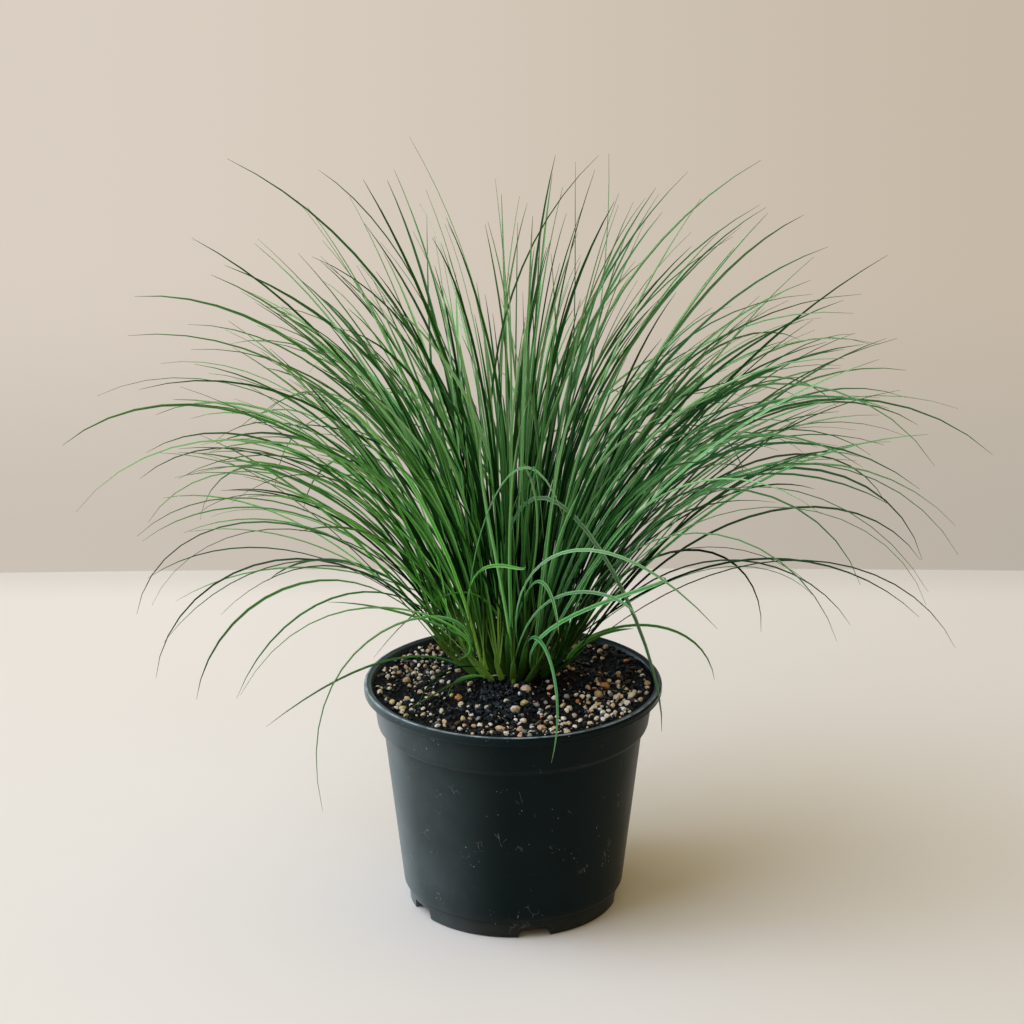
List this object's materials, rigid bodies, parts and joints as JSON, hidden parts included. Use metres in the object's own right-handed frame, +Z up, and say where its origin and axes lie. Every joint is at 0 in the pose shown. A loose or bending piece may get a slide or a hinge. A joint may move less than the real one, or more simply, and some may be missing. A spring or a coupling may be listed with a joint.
{
  "type": "potted ornamental grass",
  "caption": "Fine-leaved ornamental grass tussock with arching leaves, growing in a round black nursery pot of gritty potting mix.",
  "frame": {"origin": "centre of the pot's foot, on the ground, which is also the middle of the whole object's width and depth", "axes": "+Z up, the front of the pot faces -Y, +X to the right seen from the front"},
  "size_m": [0.4222, 0.3961, 0.3641],
  "materials": {
    "black_plastic": "satin",
    "potting_mix": "matte",
    "leaf_green": "satin"
  },
  "bodies": {
    "root": {"pot": "black_plastic", "potting_mix": "potting_mix", "grass_shoot_01": "leaf_green", "grass_shoot_02": "leaf_green", "grass_shoot_03": "leaf_green", "grass_shoot_04": "leaf_green", "grass_shoot_05": "leaf_green", "grass_shoot_06": "leaf_green", "grass_shoot_07": "leaf_green", "grass_shoot_08": "leaf_green", "grass_shoot_09": "leaf_green", "grass_shoot_10": "leaf_green", "grass_shoot_11": "leaf_green", "grass_shoot_12": "leaf_green", "grass_shoot_13": "leaf_green", "grass_shoot_14": "leaf_green", "grass_shoot_15": "leaf_green", "grass_shoot_16": "leaf_green", "grass_shoot_17": "leaf_green", "grass_shoot_18": "leaf_green", "grass_shoot_19": "leaf_green", "grass_shoot_20": "leaf_green", "grass_shoot_21": "leaf_green", "grass_shoot_22": "leaf_green", "grass_shoot_23": "leaf_green", "grass_shoot_24": "leaf_green", "grass_shoot_25": "leaf_green", "grass_shoot_26": "leaf_green", "grass_shoot_27": "leaf_green", "grass_shoot_28": "leaf_green", "grass_shoot_29": "leaf_green", "grass_shoot_30": "leaf_green", "grass_shoot_31": "leaf_green", "grass_shoot_32": "leaf_green", "grass_shoot_33": "leaf_green", "grass_shoot_34": "leaf_green", "grass_shoot_35": "leaf_green", "grass_shoot_36": "leaf_green", "grass_shoot_37": "leaf_green", "grass_shoot_38": "leaf_green", "grass_shoot_39": "leaf_green", "grass_shoot_40": "leaf_green", "grass_shoot_41": "leaf_green", "grass_shoot_42": "leaf_green", "grass_shoot_43": "leaf_green", "grass_shoot_44": "leaf_green", "grass_shoot_45": "leaf_green", "grass_shoot_46": "leaf_green", "grass_shoot_47": "leaf_green", "grass_shoot_48": "leaf_green"}
  },
  "joints": []
}
